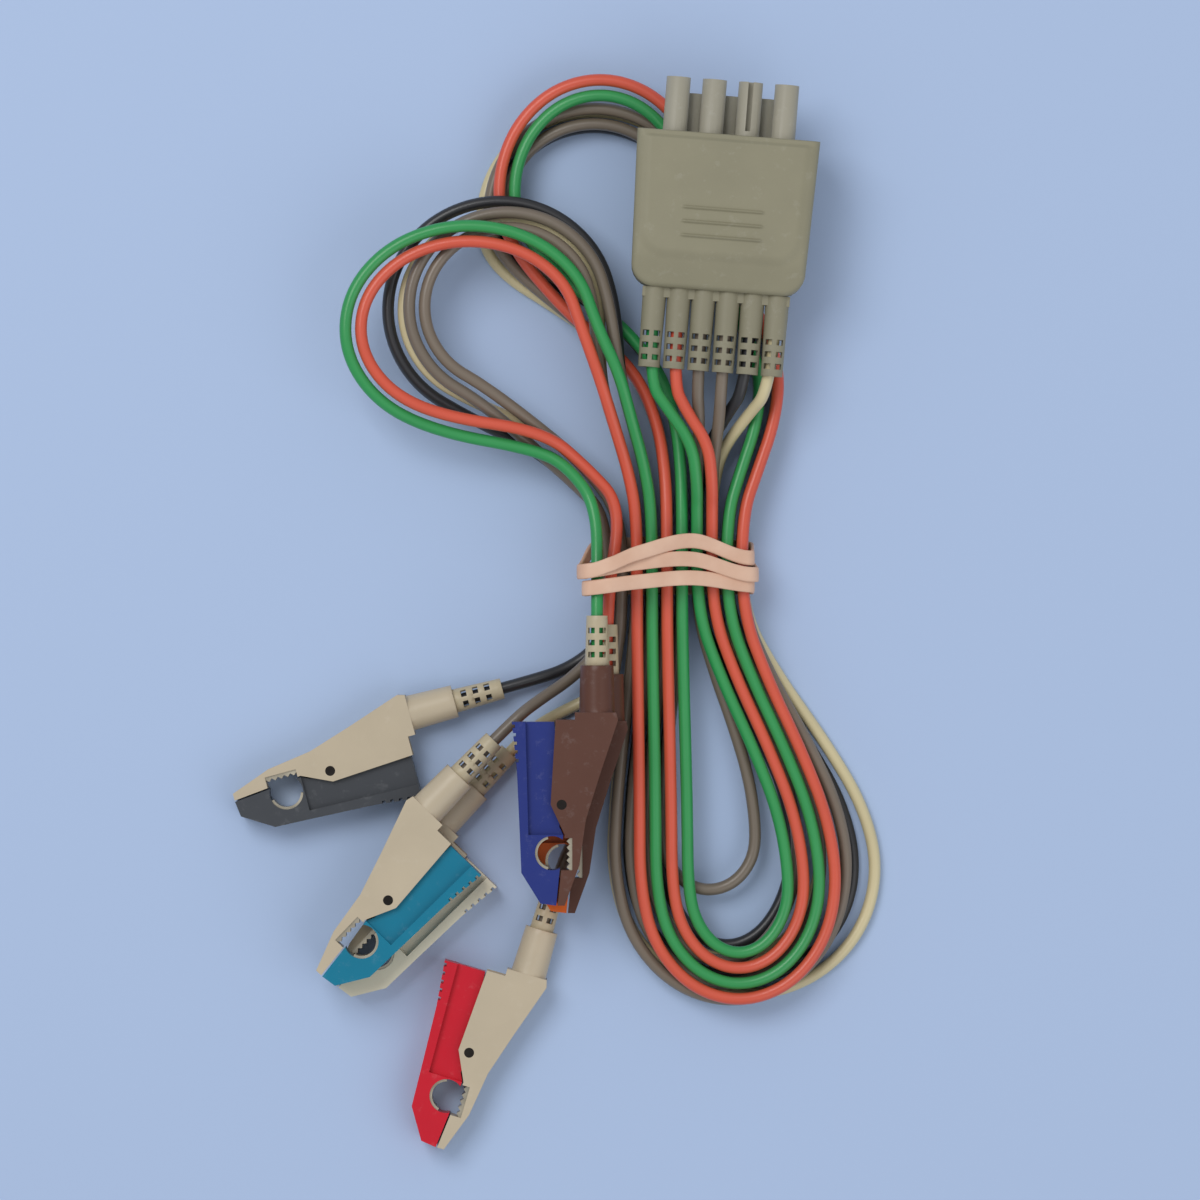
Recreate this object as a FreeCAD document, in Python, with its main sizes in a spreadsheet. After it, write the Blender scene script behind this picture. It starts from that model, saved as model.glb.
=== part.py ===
"""Electrode lead set: connector, six lead wires in a banded hank, six spring clips.

Millimetres. X runs right and Y up in the photo, Z is up from the surface it lies on.
"""
import FreeCAD
import Part
import Sketcher
import math
import os

doc = FreeCAD.newDocument("lead_set")
sheet = doc.addObject("Spreadsheet::Sheet", "sizes")
SIZES = [
    # lead wires and the hank
    ("wire_dia", 2.4),
    ("wire_bore_play", 0.3),
    ("level_step", 3.1),
    ("column_step", 3.0),
    ("first_column_x", 8.6),
    ("floor_gap", 0.05),
    # rubber band
    ("band_thick", 1.0),
    ("band_width", 3.0),
    ("band_turn_step", 4.6),
    ("band_first_y", 2.0),
    ("band_play", 0.35),
    # clip body
    ("clip_thick", 7.2),
    ("clip_channel", 5.0),
    ("clip_front", 20.0),
    ("clip_back", 16.8),
    ("cheek_top", 2.2),
    ("back_low", 11.2),
    ("spine_wall", 1.9),
    ("collar_len", 10.8),
    ("collar_end_wide", 6.6),
    ("end_wall", 1.5),
    ("lead_axis", 7.0),
    ("jaw_gap", 0.3),
    # clip lever
    ("web_thick", 4.6),
    ("lever_back", 16.4),
    ("lever_top", 9.9),
    ("cap_thick", 2.7),
    ("rib_depth", 0.5),
    ("rib_step", 1.7),
    ("eye_radius", 2.3),
    # hinge, spring and contacts
    ("pin_dia", 2.0),
    ("pin_play", 0.04),
    ("spring_slot", 2.2),
    ("spring_wire", 0.6),
    ("spring_radius", 1.75),
    ("spring_leg", 10.5),
    ("jaw_hole_dia", 6.8),
    ("contact_thick", 0.5),
    ("contact_wide", 6.0),
    ("tooth_high", 0.6),
    # slotted strain reliefs
    ("relief_dia", 4.8),
    ("relief_len", 9.9),
    ("slot_rib", 0.9),
    ("slot_deep", 1.3),
    ("slot_floor", 0.8),
    ("slot_wide", 1.1),
    ("slot_step", 2.4),
    # connector
    ("plug_wide", 36.4),
    ("plug_long", 31.0),
    ("plug_rear_wide", 34.6),
    ("plug_corner", 4.5),
    ("apron_long", 6.0),
    ("apron_low", 3.0),
    ("shell_half", 6.2),
    ("shell_wall", 1.4),
    ("pad_high", 0.6),
    ("pad_inset", 1.8),
    ("pad_long", 24.5),
    ("grip_wide", 16.2),
    ("grip_high", 0.5),
    ("grip_bar", 0.8),
    ("grip_step", 2.8),
    ("insert_deep", 10.0),
    ("prong_dia", 4.8),
    ("prong_long", 10.8),
    ("prong_short", 8.0),
    ("prong_step", 7.2),
    ("row_rise", 2.35),
    ("key_web_rise", 0.9),
    ("socket_dia", 2.4),
    ("socket_bore", 1.6),
    ("tail_step", 4.9),
    ("tail_dia", 4.5),
    ("tail_long", 16.0),
    ("tail_plate", 2.0),
    ("tail_web", 3.0),
]
for index, (alias, value) in enumerate(SIZES):
    cell = "B%d" % (index + 1)
    sheet.set("A%d" % (index + 1), alias)
    sheet.set(cell, str(value))
    sheet.setAlias(cell, alias)
doc.recompute()

made = []


def size(alias):
    """A size from the sheet as a plain number."""
    return float(sheet.get(alias))


def sketch_loops(body, name, role, loops):
    """A sketch of closed outlines whose corners follow expressions."""
    plane = [item for item in body.Origin.OriginFeatures if item.Role == role][0]
    sketch = body.newObject("Sketcher::SketchObject", name)
    sketch.AttachmentSupport = [(plane, "")]
    sketch.MapMode = "FlatFace"
    first = 0
    for points in loops:
        values = []
        for across, along in points:
            values.append((float(sheet.evalExpression(across)), float(sheet.evalExpression(along))))
        count = len(points)
        for i in range(count):
            start = FreeCAD.Vector(values[i][0], values[i][1], 0)
            end = FreeCAD.Vector(values[(i + 1) % count][0], values[(i + 1) % count][1], 0)
            sketch.addGeometry(Part.LineSegment(start, end), False)
        for i in range(count):
            following = first + (i + 1) % count
            sketch.addConstraint(Sketcher.Constraint("Coincident", first + i, 2, following, 1))
        for i in range(count):
            for kind, k in (("DistanceX", 0), ("DistanceY", 1)):
                rule = Sketcher.Constraint(kind, -1, 1, first + i, 1, values[i][k])
                number = sketch.addConstraint(rule)
                sketch.setExpression("Constraints[%d]" % number, points[i][k])
        first += count
    return sketch


def sketch_circles(body, name, role, circles):
    """A sketch of circles, each given by its centre and radius as expressions."""
    plane = [item for item in body.Origin.OriginFeatures if item.Role == role][0]
    sketch = body.newObject("Sketcher::SketchObject", name)
    sketch.AttachmentSupport = [(plane, "")]
    sketch.MapMode = "FlatFace"
    for number, (across, along, radius) in enumerate(circles):
        centre = FreeCAD.Vector(sheet.evalExpression(across), sheet.evalExpression(along), 0)
        ring = Part.Circle(centre, FreeCAD.Vector(0, 0, 1), float(sheet.evalExpression(radius)))
        sketch.addGeometry(ring, False)
        rules = (("DistanceX", across), ("DistanceY", along))
        for kind, text in rules:
            value = float(sheet.evalExpression(text))
            n = sketch.addConstraint(Sketcher.Constraint(kind, -1, 1, number, 3, value))
            sketch.setExpression("Constraints[%d]" % n, text)
        value = float(sheet.evalExpression(radius))
        n = sketch.addConstraint(Sketcher.Constraint("Radius", number, value))
        sketch.setExpression("Constraints[%d]" % n, radius)
    return sketch


def pad(body, name, sketch, length, midplane=True):
    """Pad a sketch by a length expression."""
    feature = body.newObject("PartDesign::Pad", name)
    feature.Profile = sketch
    feature.Midplane = midplane
    feature.setExpression("Length", length)
    sketch.Visibility = False
    return feature


def pocket(body, name, sketch, length, midplane=True):
    """Pocket a sketch by a length expression."""
    feature = body.newObject("PartDesign::Pocket", name)
    feature.Profile = sketch
    feature.Midplane = midplane
    feature.setExpression("Length", length)
    sketch.Visibility = False
    return feature


def new_body(label, place):
    """A named body at its placement."""
    body = doc.addObject("PartDesign::Body", label)
    body.Label = label
    body.Placement = place
    made.append(body)
    return body


def keep(item, label, place):
    """Name and place a finished item."""
    item.Label = label
    item.Placement = place
    made.append(item)


ALONG = FreeCAD.Rotation(FreeCAD.Vector(0, 1, 0), 90)


def clip_body(tag, place):
    """Two cheeks, spine, front jaw and round lead collar; the hinge pin is at the origin."""
    body = new_body(tag + "_body", place)
    edge = [
        ("sizes.clip_back", "1.2"),
        ("0", "sizes.cheek_top"),
        ("-6", "-0.6"),
        ("-sizes.clip_front", "0.8"),
        ("-sizes.clip_front", "-0.6"),
        ("-12", "-3.5"),
        ("-3", "-4.8"),
        ("6", "-7.6"),
        ("sizes.clip_back", "-sizes.back_low"),
        ("sizes.clip_back + sizes.end_wall", "-sizes.back_low + 0.4"),
        ("sizes.clip_back + sizes.end_wall", "-2.6"),
        ("sizes.clip_back", "-2.6"),
    ]
    pad(body, tag + "_b1", sketch_loops(body, tag + "_b1s", "XY_Plane", [edge]), "sizes.clip_thick")
    channel = [
        ("-4.5", "sizes.cheek_top + 2"),
        ("-4.5", "-4.6 + sizes.spine_wall"),
        ("-3", "-4.8 + sizes.spine_wall"),
        ("6", "-7.6 + sizes.spine_wall"),
        ("sizes.clip_back", "-sizes.back_low + sizes.spine_wall"),
        ("sizes.clip_back", "sizes.cheek_top + 2"),
    ]
    cut = sketch_loops(body, tag + "_b2s", "XY_Plane", [channel])
    pocket(body, tag + "_b2", cut, "sizes.clip_channel")
    notch = [("-13", "-2.1"), ("-6.6", "-2.1"), ("-6.6", "2"), ("-13", "2")]
    cut = sketch_loops(body, tag + "_b3s", "XY_Plane", [notch])
    pocket(body, tag + "_b3", cut, "sizes.clip_thick + 2")
    hole = sketch_circles(body, tag + "_b4s", "XY_Plane", [("0", "0", "sizes.pin_dia / 2")])
    pocket(body, tag + "_b4", hole, "sizes.clip_thick + 2")
    sleeve = body.newObject("PartDesign::AdditiveCone", tag + "_b5")
    sleeve.setExpression("Radius1", "sizes.clip_thick / 2")
    sleeve.setExpression("Radius2", "sizes.collar_end_wide / 2")
    sleeve.setExpression("Height", "sizes.collar_len")
    sleeve.Placement = FreeCAD.Placement(FreeCAD.Vector(0, 0, 0), ALONG)
    sleeve.setExpression("Placement.Base.x", "sizes.clip_back")
    sleeve.setExpression("Placement.Base.y", "-sizes.lead_axis")


def clip_lever(tag, place):
    """Front jaw, thumb cap and a web that swings in the body's channel."""
    body = new_body(tag + "_lever", place)
    web = [
        ("-6", "-0.6 + sizes.jaw_gap"),
        ("-4.3", "0.2 + sizes.jaw_gap"),
        ("-sizes.eye_radius", "0"),
        ("-0.7 * sizes.eye_radius", "-0.7 * sizes.eye_radius"),
        ("0", "-sizes.eye_radius"),
        ("0.7 * sizes.eye_radius", "-0.7 * sizes.eye_radius"),
        ("sizes.eye_radius + 0.3", "0.5"),
        ("sizes.lever_back", "1.5"),
        ("sizes.lever_back", "sizes.lever_top"),
        ("7.2", "sizes.lever_top - 1"),
        ("-6", "sizes.lever_top - 1.6"),
    ]
    pad(body, tag + "_l1", sketch_loops(body, tag + "_l1s", "XY_Plane", [web]), "sizes.web_thick")
    jaw = [
        ("-6", "-0.6 + sizes.jaw_gap"),
        ("-6", "sizes.lever_top - 1.6"),
        ("-13.5", "sizes.lever_top - 1.9"),
        ("-sizes.clip_front + 0.4", "4.2"),
        ("-sizes.clip_front", "0.8 + sizes.jaw_gap"),
    ]
    pad(body, tag + "_l2", sketch_loops(body, tag + "_l2s", "XY_Plane", [jaw]), "sizes.clip_thick")
    cap = [
        ("-6", "sizes.lever_top - 1.6"),
        ("-6", "sizes.lever_top - 0.6 - sizes.cap_thick"),
        ("sizes.lever_back", "sizes.lever_top - sizes.cap_thick"),
        ("sizes.lever_back", "sizes.lever_top"),
        ("7.2", "sizes.lever_top - 1"),
    ]
    pad(body, tag + "_l3", sketch_loops(body, tag + "_l3s", "XY_Plane", [cap]), "sizes.clip_thick")
    eye = sketch_circles(body, tag + "_l4s", "XY_Plane", [("0", "0", "sizes.pin_dia / 2 + sizes.pin_play")])
    pocket(body, tag + "_l4", eye, "sizes.clip_thick + 2")
    ring = sketch_circles(body, tag + "_l5s", "XY_Plane", [("-9.6", "1.9", "sizes.jaw_hole_dia / 2")])
    pocket(body, tag + "_l5", ring, "sizes.clip_thick + 2")
    slot = [
        ("-2.9", "-3"),
        ("-2.9", "3.2"),
        ("sizes.spring_leg + 1.5", "6"),
        ("sizes.spring_leg + 1.5", "-3"),
    ]
    cut = sketch_loops(body, tag + "_l6s", "XY_Plane", [slot])
    pocket(body, tag + "_l6", cut, "sizes.spring_slot")
    ribs = []
    for n in range(5):
        left = "sizes.lever_back - 1.2 - %d * sizes.rib_step" % n
        low = "sizes.lever_top - sizes.rib_depth - (1.2 + %d * sizes.rib_step) / 9.2" % n
        right = left + " + 0.7"
        ribs.append([(left, low), (right, low), (right, low + " + 3"), (left, low + " + 3")])
    cut = sketch_loops(body, tag + "_l7s", "XY_Plane", ribs)
    pocket(body, tag + "_l7", cut, "sizes.clip_thick + 2")


def clip_contacts(tag, place):
    """A toothed strip in the body's notch and a half ring in the lever's hole."""
    strip = new_body(tag + "_body_contact", place)
    edge = [("-13", "-2.1"), ("-6.6", "-2.1"), ("-6.6", "-2.1 + sizes.contact_thick")]
    for n in range(5):
        edge.append(("%.2f" % (-7.24 - 1.28 * n), "-2.1 + sizes.contact_thick + sizes.tooth_high"))
        edge.append(("%.2f" % (-7.88 - 1.28 * n), "-2.1 + sizes.contact_thick"))
    edge[-1] = ("-13", "-2.1 + sizes.contact_thick")
    pad(strip, tag + "_c1", sketch_loops(strip, tag + "_c1s", "XY_Plane", [edge]), "sizes.contact_wide")
    outer = doc.addObject("Part::Cylinder", tag + "_ring_out")
    outer.setExpression("Radius", "sizes.jaw_hole_dia / 2")
    inner = doc.addObject("Part::Cylinder", tag + "_ring_in")
    inner.setExpression("Radius", "sizes.jaw_hole_dia / 2 - sizes.contact_thick")
    for item in (outer, inner):
        item.setExpression("Height", "sizes.contact_wide")
        item.Angle = 150
        turn = FreeCAD.Rotation(FreeCAD.Vector(0, 0, 1), 15)
        item.Placement = FreeCAD.Placement(FreeCAD.Vector(-9.6, 1.9, 0), turn)
        item.setExpression("Placement.Base.z", "-sizes.contact_wide / 2")
    ring = doc.addObject("Part::Cut", tag + "_lever_contact")
    ring.Base = outer
    ring.Tool = inner
    keep(ring, tag + "_lever_contact", place)


def clip_spring(tag, place):
    """Two coils round the hinge pin with one leg to each side, shown unloaded."""
    pieces = []
    for n, side in enumerate((-1, 1)):
        coil = doc.addObject("Part::Torus", "%s_coil_%d" % (tag, n))
        coil.setExpression("Radius1", "sizes.spring_radius")
        coil.setExpression("Radius2", "sizes.spring_wire / 2")
        coil.setExpression("Placement.Base.z", "%d * 0.42 * sizes.spring_wire" % side)
        pieces.append(coil)
        leg = doc.addObject("Part::Cylinder", "%s_leg_%d" % (tag, n))
        leg.setExpression("Radius", "sizes.spring_wire / 2")
        leg.setExpression("Height", "sizes.spring_leg")
        lean = -0.12 if side > 0 else -0.4
        leg.Placement.Rotation = FreeCAD.Rotation(FreeCAD.Vector(0, 0, 1), FreeCAD.Vector(1, lean, 0))
        leg.setExpression("Placement.Base.y", "%d * sizes.spring_radius" % side)
        leg.setExpression("Placement.Base.z", "%d * 0.42 * sizes.spring_wire" % side)
        pieces.append(leg)
    spring = doc.addObject("Part::MultiFuse", tag + "_spring")
    spring.Shapes = pieces
    keep(spring, tag + "_spring", place)


def clip_relief(tag, place):
    """A round sleeve behind the collar with a bore for the lead and two rows of windows."""
    body = new_body(tag + "_relief", place)
    start = "sizes.clip_back + sizes.collar_len"
    sleeve = body.newObject("PartDesign::AdditiveCone", tag + "_r1")
    sleeve.setExpression("Radius1", "sizes.relief_dia / 2")
    sleeve.setExpression("Radius2", "sizes.relief_dia / 2 - 0.3")
    sleeve.setExpression("Height", "sizes.relief_len")
    sleeve.Placement = FreeCAD.Placement(FreeCAD.Vector(0, 0, 0), ALONG)
    sleeve.setExpression("Placement.Base.x", start)
    sleeve.setExpression("Placement.Base.y", "-sizes.lead_axis")
    slots = []
    for n in range(3):
        left = start + " + 1.6 + %d * sizes.slot_step" % n
        right = left + " + sizes.slot_wide"
        for side in ("-", "+"):
            low = "-sizes.lead_axis %s sizes.slot_rib / 2" % side
            high = low + " %s sizes.slot_deep" % side
            slots.append([(left, low), (right, low), (right, high), (left, high)])
    cut = sketch_loops(body, tag + "_r3s", "XY_Plane", slots)
    pocket(body, tag + "_r3", cut, "sizes.relief_dia + 2")
    # a thin floor at mid height closes each window beside the lead
    pad(body, tag + "_r4", cut, "sizes.slot_floor")
    bore = body.newObject("PartDesign::SubtractiveCylinder", tag + "_r2")
    bore.setExpression("Radius", "sizes.wire_dia / 2 + sizes.wire_bore_play")
    bore.setExpression("Height", "sizes.relief_len + 2")
    bore.Placement = FreeCAD.Placement(FreeCAD.Vector(0, 0, 0), ALONG)
    bore.setExpression("Placement.Base.x", start + " - 1")
    bore.setExpression("Placement.Base.y", "-sizes.lead_axis")


def placed(x, y, z, turn, flip, roll=0):
    """A clip's placement: pin position, heading of its back end, flipped or not, roll."""
    heading = FreeCAD.Rotation(FreeCAD.Vector(0, 0, 1), turn)
    over = FreeCAD.Rotation(FreeCAD.Vector(1, 0, 0), (180 if flip else 0) + roll)
    return FreeCAD.Placement(FreeCAD.Vector(x, y, z), heading.multiply(over))


# Pin positions and headings read off the photo, in the frame of the whole part.
half = size("clip_thick") / 2
CLIPS = {
    "grey_clip": placed(-46.8, -33.0, half, 15, True),
    "teal_clip": placed(-35.0, -58.6, 3 * half + 0.3, 46, True),
    "red_clip": placed(-19.0, -89.4, half, 73.6, False),
    "blue_clip": placed(-0.4, -39.4, 3 * half + 6.5, 90, False),
    "orange_clip": placed(1.6, -41.2, half + 6.2, 90, False),
    "cream_clip": placed(-32.0, -61.2, half, 46, True),
}
pins = []
for tag, place in CLIPS.items():
    clip_body(tag, place)
    clip_lever(tag, place)
    clip_contacts(tag, place)
    clip_spring(tag, place)
    clip_relief(tag, place)
    pin = doc.addObject("Part::Cylinder", tag + "_pin")
    pin.setExpression("Radius", "sizes.pin_dia / 2")
    pin.setExpression("Height", "sizes.clip_thick")
    low = FreeCAD.Placement(FreeCAD.Vector(0, 0, -half), FreeCAD.Rotation())
    pin.Placement = place.multiply(low)
    pins.append(pin)
group = doc.addObject("Part::Compound", "hinge_pins")
group.Links = pins
keep(group, "hinge_pins", FreeCAD.Placement())
doc.recompute()

# Connector: its seating face is at local y = 0 and the prongs point along +y.
PLUG = FreeCAD.Placement(
    FreeCAD.Vector(32.8, 93.5, 15.3),
    FreeCAD.Rotation(FreeCAD.Vector(0, 0, 1), -4.5),
)


def rounded_rear(front_half, rear_half, front, rear, corner):
    """An outline with a straight front edge and two rounded rear corners."""
    turns = [math.radians(15 * step) for step in range(7)]
    left = []
    for turn in turns:
        across = "-(%s) + %.4f * %s" % (rear_half, 1 - math.cos(turn), corner)
        left.append((across, "%s + %.4f * %s" % (rear, 1 - math.sin(turn), corner)))
    right = [("-(%s)" % across, along) for across, along in reversed(left)]
    return [("-(%s)" % front_half, front)] + left + right + [(front_half, front)]


PLUG_EDGE = rounded_rear(
    "sizes.plug_wide / 2", "sizes.plug_rear_wide / 2", "0", "-sizes.plug_long", "sizes.plug_corner")
PLUG_ROOM = rounded_rear(
    "sizes.plug_wide / 2 - sizes.shell_wall", "sizes.plug_rear_wide / 2 - sizes.shell_wall",
    "0", "-sizes.plug_long + sizes.apron_long", "(sizes.plug_corner - sizes.shell_wall)")
PLUG_PAD = rounded_rear(
    "sizes.plug_wide / 2 - sizes.pad_inset", "sizes.plug_rear_wide / 2 - sizes.pad_inset",
    "-1.3", "-sizes.pad_long", "sizes.plug_corner")


def plug_shell(label, upper):
    """One half of the housing; the upper half has the sloping apron, raised pad and grip bars."""
    body = new_body(label, PLUG)
    outline = pad(body, label + "_1", sketch_loops(body, label + "_1s", "XY_Plane", [PLUG_EDGE]),
                  "sizes.shell_half", False)
    outline.Reversed = not upper
    if upper:
        slope = [
            ("-sizes.plug_long + sizes.apron_long", "sizes.shell_half + 0.1"),
            ("-sizes.plug_long - 1", "sizes.shell_half + 0.1"),
            ("-sizes.plug_long - 1", "sizes.apron_low"),
        ]
        cut = sketch_loops(body, label + "_5s", "YZ_Plane", [slope])
        pocket(body, label + "_5", cut, "sizes.plug_wide + 2")
        high = "sizes.shell_half + sizes.pad_high"
        pad(body, label + "_2", sketch_loops(body, label + "_2s", "XY_Plane", [PLUG_PAD]), high, False)
        bars = []
        for n in range(3):
            top = "-14.6 - %d * sizes.grip_step" % n
            low = top + " - sizes.grip_bar"
            bars.append([
                ("-sizes.grip_wide / 2", top),
                ("-sizes.grip_wide / 2", low),
                ("sizes.grip_wide / 2", low),
                ("sizes.grip_wide / 2", top),
            ])
        high = "sizes.shell_half + sizes.pad_high + sizes.grip_high"
        pad(body, label + "_3", sketch_loops(body, label + "_3s", "XY_Plane", bars), high, False)
    room = sketch_loops(body, label + "_4s", "XY_Plane", [PLUG_ROOM])
    hollow = pocket(body, label + "_4", room, "sizes.shell_half - sizes.shell_wall", False)
    hollow.Reversed = upper
    doc.recompute()
    if hollow.Shape.Volume > 0.8 * outline.Shape.Volume:
        hollow.Reversed = not upper
        doc.recompute()


plug_shell("plug_upper_shell", True)
plug_shell("plug_lower_shell", False)

# Insert: a block that fills the mouth of the shells, with two rows of round prongs.
insert = new_body("plug_insert", PLUG)
block = [
    ("-sizes.plug_wide / 2 + sizes.shell_wall", "0"),
    ("-sizes.plug_rear_wide / 2 + sizes.shell_wall", "-sizes.insert_deep"),
    ("sizes.plug_rear_wide / 2 - sizes.shell_wall", "-sizes.insert_deep"),
    ("sizes.plug_wide / 2 - sizes.shell_wall", "0"),
]
sketch = sketch_loops(insert, "insert_1s", "XY_Plane", [block])
pad(insert, "insert_1", sketch, "2 * (sizes.shell_half - sizes.shell_wall)")
PRONGS = [
    (-1.5, 1, "sizes.prong_long"),
    (-0.5, 1, "sizes.prong_long"),
    (0.5, 1, "sizes.prong_long"),
    (1.5, 1, "sizes.prong_long"),
    (-1.0, -1, "sizes.prong_short"),
    (0.0, -1, "sizes.prong_short"),
    (1.0, -1, "sizes.prong_short"),
]
FORWARD = FreeCAD.Rotation(FreeCAD.Vector(0, 0, 1), FreeCAD.Vector(0, 1, 0))
for n, (place_x, row, length) in enumerate(PRONGS):
    prong = insert.newObject("PartDesign::AdditiveCylinder", "insert_prong_%d" % n)
    prong.setExpression("Radius", "sizes.prong_dia / 2 - %.1f" % (0.0 if row > 0 else 0.2))
    prong.setExpression("Height", length + " + 1")
    prong.Placement = FreeCAD.Placement(FreeCAD.Vector(0, -1, 0), FORWARD)
    prong.setExpression("Placement.Base.x", "%.1f * sizes.prong_step" % place_x)
    prong.setExpression("Placement.Base.z", "%d * sizes.row_rise" % row)
for n, (place_x, row, length) in enumerate(PRONGS):
    if n == 2:
        continue
    hole = insert.newObject("PartDesign::SubtractiveCylinder", "insert_hole_%d" % n)
    hole.setExpression("Radius", "sizes.socket_dia / 2")
    hole.setExpression("Height", length + " + 3")
    hole.Placement = FreeCAD.Placement(FreeCAD.Vector(0, -2, 0), FORWARD)
    hole.setExpression("Placement.Base.x", "%.1f * sizes.prong_step" % place_x)
    hole.setExpression("Placement.Base.z", "%d * sizes.row_rise" % row)
key = [
    ("0.5 * sizes.prong_step - 0.5", "1"),
    ("0.5 * sizes.prong_step - 0.5", "sizes.prong_long + 1"),
    ("0.5 * sizes.prong_step + 0.5", "sizes.prong_long + 1"),
    ("0.5 * sizes.prong_step + 0.5", "1"),
]
sketch = sketch_loops(insert, "insert_key_s", "XY_Plane", [key])
pocket(insert, "insert_key", sketch, "2 * sizes.row_rise + sizes.prong_dia + 2")
# a web in the split joins the two halves of the keyed prong below their tops
web = [
    ("0.5 * sizes.prong_step - 0.5", "1"),
    ("0.5 * sizes.prong_step - 0.5", "sizes.prong_long"),
    ("0.5 * sizes.prong_step + 0.5", "sizes.prong_long"),
    ("0.5 * sizes.prong_step + 0.5", "1"),
]
sketch = sketch_loops(insert, "insert_web_s", "XY_Plane", [web])
pad(insert, "insert_web", sketch, "sizes.row_rise + sizes.key_web_rise", False)

# Six socket contacts line the prongs' bores.
sockets = []
for n, (place_x, row, length) in enumerate(PRONGS):
    if n == 2:
        continue
    outer = doc.addObject("Part::Cylinder", "socket_out_%d" % n)
    outer.setExpression("Radius", "sizes.socket_dia / 2")
    inner = doc.addObject("Part::Cylinder", "socket_in_%d" % n)
    inner.setExpression("Radius", "sizes.socket_bore / 2")
    for item, extra in ((outer, 0.0), (inner, 1.0)):
        item.setExpression("Height", length + " + 1.6 + %.1f" % extra)
        item.Placement = FreeCAD.Placement(FreeCAD.Vector(0, -2 + extra, 0), FORWARD)
        item.setExpression("Placement.Base.x", "%.1f * sizes.prong_step" % place_x)
        item.setExpression("Placement.Base.z", "%d * sizes.row_rise" % row)
    tube = doc.addObject("Part::Cut", "socket_%d" % n)
    tube.Base = outer
    tube.Tool = inner
    sockets.append(tube)
group = doc.addObject("Part::Compound", "socket_contacts")
group.Links = sockets
keep(group, "socket_contacts", PLUG)

# Six slotted tails in one moulding behind the housing.
tails = new_body("plug_reliefs", PLUG)
plate = [
    ("-3 * sizes.tail_step", "-sizes.plug_long"),
    ("-3 * sizes.tail_step", "-sizes.plug_long - sizes.tail_plate"),
    ("3 * sizes.tail_step", "-sizes.plug_long - sizes.tail_plate"),
    ("3 * sizes.tail_step", "-sizes.plug_long"),
]
sketch = sketch_loops(tails, "tail_1s", "XY_Plane", [plate])
pad(tails, "tail_1", sketch, "sizes.tail_web")
BACKWARD = FreeCAD.Rotation(FreeCAD.Vector(0, 0, 1), FreeCAD.Vector(0, -1, 0))
for n in range(6):
    finger = tails.newObject("PartDesign::AdditiveCone", "tail_2_%d" % n)
    finger.setExpression("Radius1", "sizes.tail_dia / 2 + 0.15")
    finger.setExpression("Radius2", "sizes.tail_dia / 2 - 0.1")
    finger.setExpression("Height", "sizes.tail_long")
    finger.Placement = FreeCAD.Placement(FreeCAD.Vector(0, 0, 0), BACKWARD)
    finger.setExpression("Placement.Base.x", "%.1f * sizes.tail_step" % (n - 2.5))
    finger.setExpression("Placement.Base.y", "-sizes.plug_long")
windows = []
for n in range(6):
    for row in range(3):
        middle = "%.1f * sizes.tail_step" % (n - 2.5)
        top = "-sizes.plug_long - sizes.tail_long + 1.4 + %d * sizes.slot_step" % row
        low = top + " + sizes.slot_wide"
        for side in ("-", "+"):
            near = middle + " %s sizes.slot_rib / 2" % side
            far = near + " %s sizes.slot_deep" % side
            windows.append([(near, top), (far, top), (far, low), (near, low)])
sketch = sketch_loops(tails, "tail_3s", "XY_Plane", windows)
pocket(tails, "tail_3", sketch, "sizes.tail_dia + 3")
pad(tails, "tail_4", sketch, "sizes.slot_floor")
for n in range(6):
    hole = tails.newObject("PartDesign::SubtractiveCylinder", "tail_bore_%d" % n)
    hole.setExpression("Radius", "sizes.wire_dia / 2 + sizes.wire_bore_play")
    hole.setExpression("Height", "sizes.tail_long + 2")
    hole.Placement = FreeCAD.Placement(FreeCAD.Vector(0, 0, 0), BACKWARD)
    hole.setExpression("Placement.Base.x", "%.1f * sizes.tail_step" % (n - 2.5))
    hole.setExpression("Placement.Base.y", "-sizes.plug_long + 1")
doc.recompute()


def plan(across, down):
    """Millimetres in the part's frame for a point read off the photo at 5 pixels per mm."""
    return ((across - 564) / 5.0, (606 - down) / 5.0)


def ramp(low, high, value):
    """A smooth rise from 0 to 1 between two values."""
    s = min(1.0, max(0.0, (value - low) / (high - low)))
    return s * s * (3 - 2 * s)


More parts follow.
